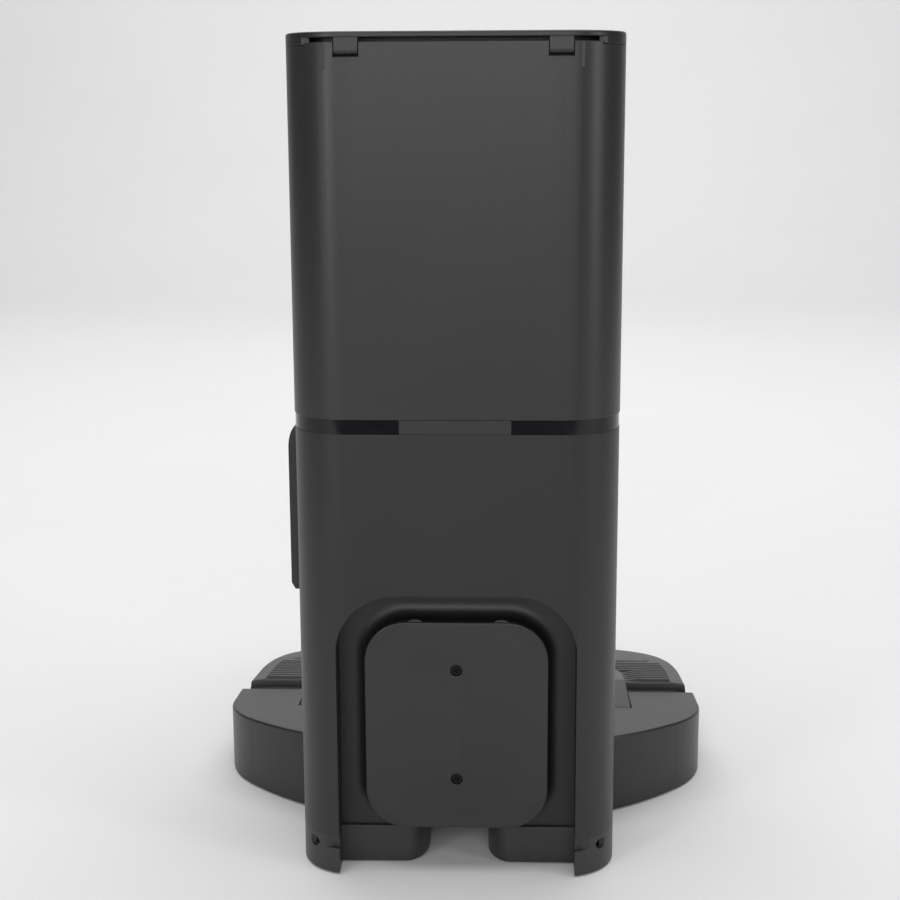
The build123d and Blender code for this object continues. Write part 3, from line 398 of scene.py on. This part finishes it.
def land(name, rows, half_at, offsets, middle, height, bottom, material):
    """Closed solid whose top is a height over rows of (forward, profile height).

    The columns of each row are in from both sides by the offsets, then spread evenly over the middle.
    """
    mesh = bmesh.new()
    grid = []
    for forward, level in rows:
        half = half_at(forward)
        most = [half * 0.5 * (index + 1) / len(offsets) for index in range(len(offsets))]
        inward = [min(offset, limit) for offset, limit in zip(offsets, most)]
        rest = half - inward[-1]
        right = [half - offset for offset in inward] + [rest * (1 - (k + 1) / middle) for k in range(middle)]
        across = [-u for u in right[:-1]] + right[::-1]
        grid.append([(u, forward, level) for u in across])
    flat = np.array([point for line in grid for point in line])
    tall = height(flat[:, 0], flat[:, 1], flat[:, 2])
    columns = len(grid[0])
    upper = [mesh.verts.new(row(u, v, z)) for (u, v, _), z in zip(flat, tall)]
    lower = [mesh.verts.new(row(u, v, bottom)) for u, v, _ in flat]
    for line in range(len(grid) - 1):
        for column in range(columns - 1):
            a = line * columns + column
            corners = (a, a + 1, a + columns + 1, a + columns)
            mesh.faces.new([upper[c] for c in corners])
            mesh.faces.new([lower[c] for c in reversed(corners)])
    last = (len(grid) - 1) * columns
    rim = list(range(columns)) + [columns * (k + 1) - 1 for k in range(1, len(grid))]
    rim += [last + k for k in range(columns - 2, -1, -1)] + [columns * k for k in range(len(grid) - 2, 0, -1)]
    for here, after in zip(rim, rim[1:] + rim[:1]):
        mesh.faces.new((lower[here], lower[after], upper[after], upper[here]))
    bmesh.ops.remove_doubles(mesh, verts=mesh.verts, dist=0.00002)
    bmesh.ops.dissolve_degenerate(mesh, edges=mesh.edges, dist=0.00001)
    return as_object(name, mesh, material)


def smooth_step(value, low, high):
    part = np.clip((value - low) / (high - low), 0, 1)
    return part * part * (3 - 2 * part)


# ---------------------------------------------------------------- ramp with its ridges and sloping rim
WING_HALF = 142.5
SIDE_START = 240.0
ARCS = [(400.0, 5.0), (180.0, 12.0), (70.0, 61.0)]
RAMP_START = 186.3
CREST, CREST_TOP, TRENCH = 200.0, 36.0, 30.0
GROOVE, GROOVE_TOP, TIP_TOP = 290.0, 18.9, 3.0
GROOVE_HALF = 123.0
DECK_HALF, DECK_CENTRE, DECK_END, DECK_REAR = 101.0, 226.0, 56.0, 147.0
DECK_GAP = 0.3
BASE_BOTTOM = 1.0
RIDGES, RIDGE_PITCH = 10, 7.3
SIDE_DRAFT = 0.12


def base_arcs():
    """Centre and radius of each tangent arc of the base's side, and where it ends, then the front arc."""
    place, turned, arcs = Vector((WING_HALF, SIDE_START)), 0.0, []
    for radius, turn in ARCS:
        out = Vector((math.cos(turned), math.sin(turned)))
        turned += math.radians(turn)
        centre = place - radius * out
        place = centre + radius * Vector((math.cos(turned), math.sin(turned)))
        arcs.append((centre, radius, place.y))
    radius = place.x / math.cos(turned)
    centre = Vector((0, place.y - radius * math.sin(turned)))
    arcs.append((centre, radius, centre.y + radius))
    return arcs


base_side = base_arcs()
DEPTH = base_side[-1][2]


def base_half(forward):
    if forward <= SIDE_START:
        return WING_HALF
    for centre, radius, end in base_side:
        if forward <= end:
            break
    return centre.x + math.sqrt(max(radius ** 2 - (forward - centre.y) ** 2, 0.01))


def deck_half(forward, grow=0.0):
    if forward <= DECK_CENTRE:
        return DECK_HALF + grow
    part = min((forward - DECK_CENTRE) / (DECK_END + grow), 1.0)
    return (DECK_HALF + grow) * math.sqrt(max(1 - part ** 2, 1e-6))


def both_sides(half_at, places):
    right = [(half_at(v), v) for v in places]
    return right + [(-u, v) for u, v in reversed(right)]


def ramp_rows():
    """Profile of the ramp: trench, crest with a small round, ridges down the slope, groove and lip."""
    slope = (CREST_TOP - GROOVE_TOP) / (GROOVE - CREST)

    def fall(v):
        return CREST_TOP - slope * (v - CREST)

    rows = [(RAMP_START, TRENCH), (190.0, TRENCH), (195.0, TRENCH)]
    rows += [(198.6, TRENCH + 0.05), (199.2, TRENCH + 0.5), (199.5, TRENCH + 1.6)]
    rows += [(199.6, CREST_TOP - 1.4), (199.9, CREST_TOP - 0.6), (200.6, CREST_TOP - 0.1)]
    rows += [(201.6, fall(201.6)), (204.0, fall(204.0))]
    for index in range(RIDGES):
        centre = CREST + 6.4 + RIDGE_PITCH * index
        for shift, lift in ((-1.9, 0), (-1.6, 1.1), (-1.1, 1.5), (1.1, 1.5), (1.5, 1.1), (1.7, 0)):
            rows.append((centre + shift, fall(centre + shift) + lift))
        rows.append((centre + RIDGE_PITCH / 2, fall(centre + RIDGE_PITCH / 2)))
    dip = [(-4.4, 0), (-3.7, 0), (-3.2, 0.7), (-2.2, 1.7), (-0.9, 2.0), (0.4, 1.7), (1.4, 0.7), (1.9, 0)]
    for shift, drop in dip:
        centre = GROOVE - 1.5
        rows.append((centre + shift, fall(centre + shift) - drop))
    lip = (GROOVE_TOP - TIP_TOP) / (DEPTH - GROOVE)
    steps = [0.04, 0.12, 0.2, 0.28, 0.36, 0.44, 0.52, 0.6, 0.68, 0.75]
    for part in steps + [0.81, 0.86, 0.9, 0.93, 0.955, 0.975, 0.99, 0.997]:
        v = GROOVE + part * (DEPTH - GROOVE)
        rows.append((v, GROOVE_TOP - lip * (v - GROOVE)))
    return rows


def ramp_height(u, v, level):
    """Ridges and groove end short of the rim and the deck; the rim slopes outward."""
    points = np.column_stack((u, v))
    places = np.concatenate((np.linspace(RAMP_START - 40, 340, 60), np.linspace(340.5, DEPTH - 0.01, 90)))
    edge = distance_to(both_sides(base_half, places), points)
    beyond = np.maximum(v - DECK_CENTRE, 0) * DECK_HALF / DECK_END
    radial = np.hypot(u, beyond) - DECK_HALF
    slope = (CREST_TOP - GROOVE_TOP) / (GROOVE - CREST)
    plain = np.where(v < GROOVE, CREST_TOP - slope * (v - CREST), level)
    plain = np.where(v < CREST + 1.8, level, plain)
    detail = level - plain
    ridge = smooth_step(edge, 9.2, 10.6) * smooth_step(radial, 2.5, 4.0)
    groove = smooth_step(GROOVE_HALF - np.abs(u), 0, 1.6)
    detail = np.where(detail > 0, detail * ridge, detail * groove)
    rim_drop = 1.2 * np.clip((plain - 4) / 24, 0.2, 1)
    rim = np.clip(1 - edge / 9.2, 0, 1)
    rounding = 0.7 * np.clip(1 - edge / 0.9, 0, 1) ** 2
    return np.maximum(plain + detail - rim_drop * rim - np.minimum(rounding, plain * 0.25), 2.0)


def lean_in(piece):
    """Draft on the ramp's outer wall: it leans in with height, and the lean fades out across the rim."""
    for vert in piece.data.vertices:
        across = abs(vert.co.x) / MM
        forward = (REAR - vert.co.y) / MM
        near = min(max(1 - (base_half(min(forward, DEPTH - 0.2)) - across) / 40, 0), 1)
        lean = SIDE_DRAFT * max(vert.co.z / MM - BASE_BOTTOM, 0) * near
        vert.co.x -= math.copysign(min(lean, across * 0.2) * MM, vert.co.x)


def build_ramp():
    offsets = [0, 0.35, 0.8, 1.4, 2.6, 4.2, 6.0, 7.8, 9.2, 9.9, 10.5, 11.2, 12.2]
    offsets += [14.0, 17.0, 21.0, 27.0, 34.0]
    ramp = land(
        "ramp", ramp_rows(), base_half, offsets, 14, ramp_height, BASE_BOTTOM, materials["ramp_plastic_painted_shade"]
    )
    lean_in(ramp)
    turns = [math.radians(3 * k) for k in range(31)]
    places = [DECK_REAR - 10] + [DECK_CENTRE + (DECK_END + DECK_GAP) * math.sin(turn) for turn in turns]
    cut(ramp, prism("deck_hole", both_sides(lambda v: deck_half(v, DECK_GAP), places), -10, 60))
    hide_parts("ramp_plate")
    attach(ramp, "dock")


# ---------------------------------------------------------------- deck over the floor duct
def deck_rows():
    """Deck top from the rear edge over the crest to the tip, closer together where it turns down."""
    places = [147.0, 147.3, 147.8, 148.6, 150.0, 153.0, 160.0, 170.0, 180.0]
    places += [190.0, 196.0, 199.0, 200.0, 201.0, 204.0]
    places += [209.0, 214.0, 220.0, 226.0]
    turns = list(range(6, 86, 4)) + [86.5, 88, 89, 89.6]
    places += [DECK_CENTRE + DECK_END * math.sin(math.radians(angle)) for angle in turns]
    rows = []
    for v in places:
        if v < CREST:
            level = 38.7 - 1.1 * (v - DECK_REAR) / (CREST - DECK_REAR)
        else:
            level = 37.6 - 15.1 * (v - CREST) / (DECK_CENTRE + DECK_END - CREST)
        rows.append((v, level))
    return rows


def deck_height(u, v, level):
    places = [DECK_REAR] + [DECK_CENTRE + DECK_END * math.sin(math.radians(2 * k)) for k in range(46)]
    edge = distance_to(both_sides(deck_half, places), np.column_stack((u, v)))
    turn = 2.0
    inside = np.clip(turn - edge, 0, turn)
    return level - (turn - np.sqrt(turn ** 2 - inside ** 2)) * 0.9


def build_deck():
    offsets = [0, 0.1, 0.3, 0.6, 1.0, 1.5, 2.1, 3.0, 5.0, 9.0, 14.0, 20.0]
    deck = land(
        "deck", deck_rows(), deck_half, offsets, 12, deck_height, 14.0, materials["base_plastic"]
    )
    corner, half_wide, half_long, centre = 8.0, 37.0, 13.0, 168.0
    hole = []
    for quarter, (su, sv) in enumerate(((1, 1), (-1, 1), (-1, -1), (1, -1))):
        for step in range(9):
            angle = math.radians(90 * quarter + 11.25 * step)
            hole.append((
                su * (half_wide - corner) + corner * math.cos(angle),
                centre + sv * (half_long - corner) + corner * math.sin(angle),
            ))
    cut(deck, prism("port_hole", hole, 0, 60))
    cut(deck, prism("duct_room", [(-38.3, 140), (38.3, 140), (38.3, 190), (-38.3, 190)], 0, 35.6))
    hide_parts("suction_deck")
    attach(deck, "dock")


# ---------------------------------------------------------------- dust bag
def rounded_block(centre, size, cells, power=5.0):
    """Closed block with crowned faces, on an even grid, bent towards a superellipsoid."""
    mesh = bmesh.new()
    bmesh.ops.create_cube(mesh, size=2.0)
    bmesh.ops.subdivide_edges(mesh, edges=mesh.edges, cuts=cells, use_grid_fill=True)
    for vert in mesh.verts:
        away = sum(abs(c) ** power for c in vert.co) ** (1 / power)
        place = vert.co / away
        vert.co = row(*(centre[i] + place[i] * size[i] / 2 for i in range(3)))
    return mesh


def puff(piece, pressure, cap, voxel=0.005, frames=20):
    """Swell a pad with cloth pressure, then apply it with the movement capped."""
    remesh = piece.modifiers.new("remesh", "REMESH")
    remesh.mode = "VOXEL"
    remesh.voxel_size = voxel
    baked(piece)
    start = [vert.co.copy() for vert in piece.data.vertices]
    cloth = piece.modifiers.new("cloth", "CLOTH")
    cloth.settings.use_pressure = True
    cloth.settings.uniform_pressure_force = pressure
    cloth.settings.effector_weights.gravity = 0
    for frame_number in range(1, frames + 1):
        bpy.context.scene.frame_set(frame_number)
    baked(piece)
    bpy.context.scene.frame_set(1)
    for vert, origin in zip(piece.data.vertices, start):
        move = vert.co - origin
        if move.length > cap:
            vert.co = origin + move * (cap / move.length)


def build_bag():
    """Non-woven bag: a swollen body, a welded seam round its middle and a cuff on the card collar."""
    block = rounded_block((0, 120, 329), (134, 84, 128), 22)
    body = as_object("bag_body", block, materials["bag_cloth"], 180)
    puff(body, 4.0, 0.007)
    limits = (row(71.5, 170.5, 259.5), row(-71.5, 72.0, 400.5))
    for vert in body.data.vertices:
        folds = 0.0011 * math.sin(vert.co.x * 150 + 2.2 * math.sin(vert.co.z * 70))
        folds += 0.0008 * math.sin(vert.co.z * 190 + 3.0 * math.sin(vert.co.x * 60 + 1.0))
        middle = row(0, 120, 329)
        vert.co += (vert.co - middle).normalized() * folds
        for axis in range(3):
            low, high = sorted((limits[0][axis], limits[1][axis]))
            vert.co[axis] = min(max(vert.co[axis], low), high)
    finer = body.modifiers.new("finer", "SUBSURF")
    finer.levels = finer.render_levels = 1
    baked(body, 180)
    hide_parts("dust_bag")

    seam = bmesh.new()
    loop = []
    steps = 160
    for step in range(steps):
        angle = 2 * math.pi * step / steps
        reach = (abs(math.cos(angle)) ** 7 + abs(math.sin(angle)) ** 7) ** (-1 / 7)
        wave = 0.9 * math.sin(9 * angle) + 0.5 * math.sin(23 * angle + 1)
        ring = []
        for inset, lift in ((9.0, -0.5), (0.0, -0.35), (0.0, 0.35), (9.0, 0.5)):
            across = (73.0 - inset) * reach * math.cos(angle)
            up = 329 + (70.5 - inset) * reach * math.sin(angle)
            ring.append(seam.verts.new(row(across, 120 + wave + lift, up)))
        loop.append(ring)
    for ring, after in zip(loop, loop[1:] + loop[:1]):
        for k in range(4):
            seam.faces.new((ring[k], ring[(k + 1) % 4], after[(k + 1) % 4], after[k]))
    welt = as_object("bag_seam", seam, materials["bag_cloth"])

    cuff = bmesh.new()
    profile = [(22.6, 63.8), (29.2, 63.8), (29.6, 66.0), (28.6, 70.0)]
    profile += [(29.4, 75.0), (31.5, 79.0), (24.0, 79.0), (22.6, 74)]
    loop = []
    for step in range(64):
        angle = 2 * math.pi * step / 64
        right, up = math.cos(angle), math.sin(angle)
        loop.append([cuff.verts.new(row(r * right, v, 372 + r * up)) for r, v in profile])
    for ring, after in zip(loop, loop[1:] + loop[:1]):
        for k in range(len(profile)):
            n = (k + 1) % len(profile)
            cuff.faces.new((ring[k], ring[n], after[n], after[k]))
    neck = as_object("bag_cuff", cuff, materials["bag_cloth"], 50)
    for piece in (body, welt, neck):
        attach(piece, "bag")


# ---------------------------------------------------------------- foam filter
def build_foam():
    """Open-cell pad with a soft, slightly uneven top and rounded edges."""
    block = rounded_block((0, 117, 250.8), (99.4, 95.4, 7.8), 40, power=14)
    pad = as_object("foam_pad", block, materials["foam"], 180)
    for vert in pad.data.vertices:
        vert.co.z += 0.0002 * math.sin(vert.co.x * 210) * math.cos(vert.co.y * 180) * (vert.co.z > 0.2508)
    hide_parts("pre_motor_filter")
    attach(pad, "dock")


build_ramp()
build_deck()
build_bag()
build_foam()


# ---------------------------------------------------------------- camera, floor and light
def aim_camera():
    yaw, pitch, roll = math.radians(-2.189), math.radians(11.894), math.radians(-0.274)
    ahead = Vector((-math.sin(yaw) * math.cos(pitch), -math.cos(yaw) * math.cos(pitch), -math.sin(pitch)))
    level = Vector((-math.cos(yaw), math.sin(yaw), 0))
    upward = level.cross(ahead)
    right = math.cos(roll) * level + math.sin(roll) * upward
    top = math.cos(roll) * upward - math.sin(roll) * level
    data = bpy.data.cameras.new("camera")
    data.lens = 65.1
    data.sensor_width = 36
    data.clip_end = 50
    camera = bpy.data.objects.new("camera", data)
    turn = Matrix((right, top, -ahead)).transposed()
    camera.matrix_world = Matrix.Translation(row(27.6, -787.2, 394.7)) @ turn.to_4x4()
    bpy.context.scene.collection.objects.link(camera)
    bpy.context.scene.camera = camera


def build_stage():
    """Seamless paper: a floor that sweeps up into a wall beyond the object."""
    sweep = [(1.25, 0.0), (0.6, 0.0), (-1.6, 0.0), (-2.3, 0.0)]
    turn = 0.9
    for step in range(1, 13):
        angle = math.radians(7.5 * step)
        sweep.append((-2.3 - turn * math.sin(angle), turn * (1 - math.cos(angle))))
    sweep.append((-3.2, 3.6))
    half_width = 4.0
    mesh = bmesh.new()
    pairs = [[mesh.verts.new((side * half_width, y, z)) for side in (-1, 1)] for y, z in sweep]
    for (left, right), (next_left, next_right) in zip(pairs, pairs[1:]):
        mesh.faces.new((next_left, next_right, right, left))
    paper = Shader("studio_paper")
    paper.colour(paper.blend(paper.noise(3, 4, 0.6), (0.76, 0.755, 0.76), (0.80, 0.795, 0.80)))
    paper.rough(paper.spread(paper.noise(40), 0.85, 0.95))
    as_object("studio_floor", mesh, paper.material, closed=False)


def area_light(name, place, target, size, power, tint=(1, 1, 1)):
    data = bpy.data.lights.new(name, "AREA")
    data.shape = "RECTANGLE"
    data.size, data.size_y = size
    data.energy = power
    data.color = tint
    lamp = bpy.data.objects.new(name, data)
    lamp.location = place
    lamp.rotation_euler = (Vector(target) - Vector(place)).to_track_quat("-Z", "Y").to_euler()
    bpy.context.scene.collection.objects.link(lamp)


def light_studio():
    world = bpy.data.worlds.new("studio")
    world.use_nodes = True
    world.node_tree.nodes["Background"].inputs["Color"].default_value = (0.98, 0.985, 1.0, 1)
    world.node_tree.nodes["Background"].inputs["Strength"].default_value = 0.12
    bpy.context.scene.world = world
    area_light("side_left", (1.15, 1.65, 0.7), (0, 0.18, 0.38), (0.35, 1.0), 8)
    area_light("side_right", (-1.65, 1.0, 0.7), (0, 0.18, 0.38), (0.3, 1.0), 6)
    area_light("overhead", (0, 0.05, 2.5), (0, 0.05, 0.2), (2.6, 2.5), 50)
    area_light("front_wall", (-0.1, 2.7, 0.95), (0, 0.2, 0.42), (2.4, 1.2), 26)
    area_light("backdrop", (0, -1.2, 2.6), (0, -3.0, 0.7), (3.2, 0.6), 46)
    bpy.context.scene.view_settings.view_transform = "Standard"


aim_camera()
build_stage()
light_studio()
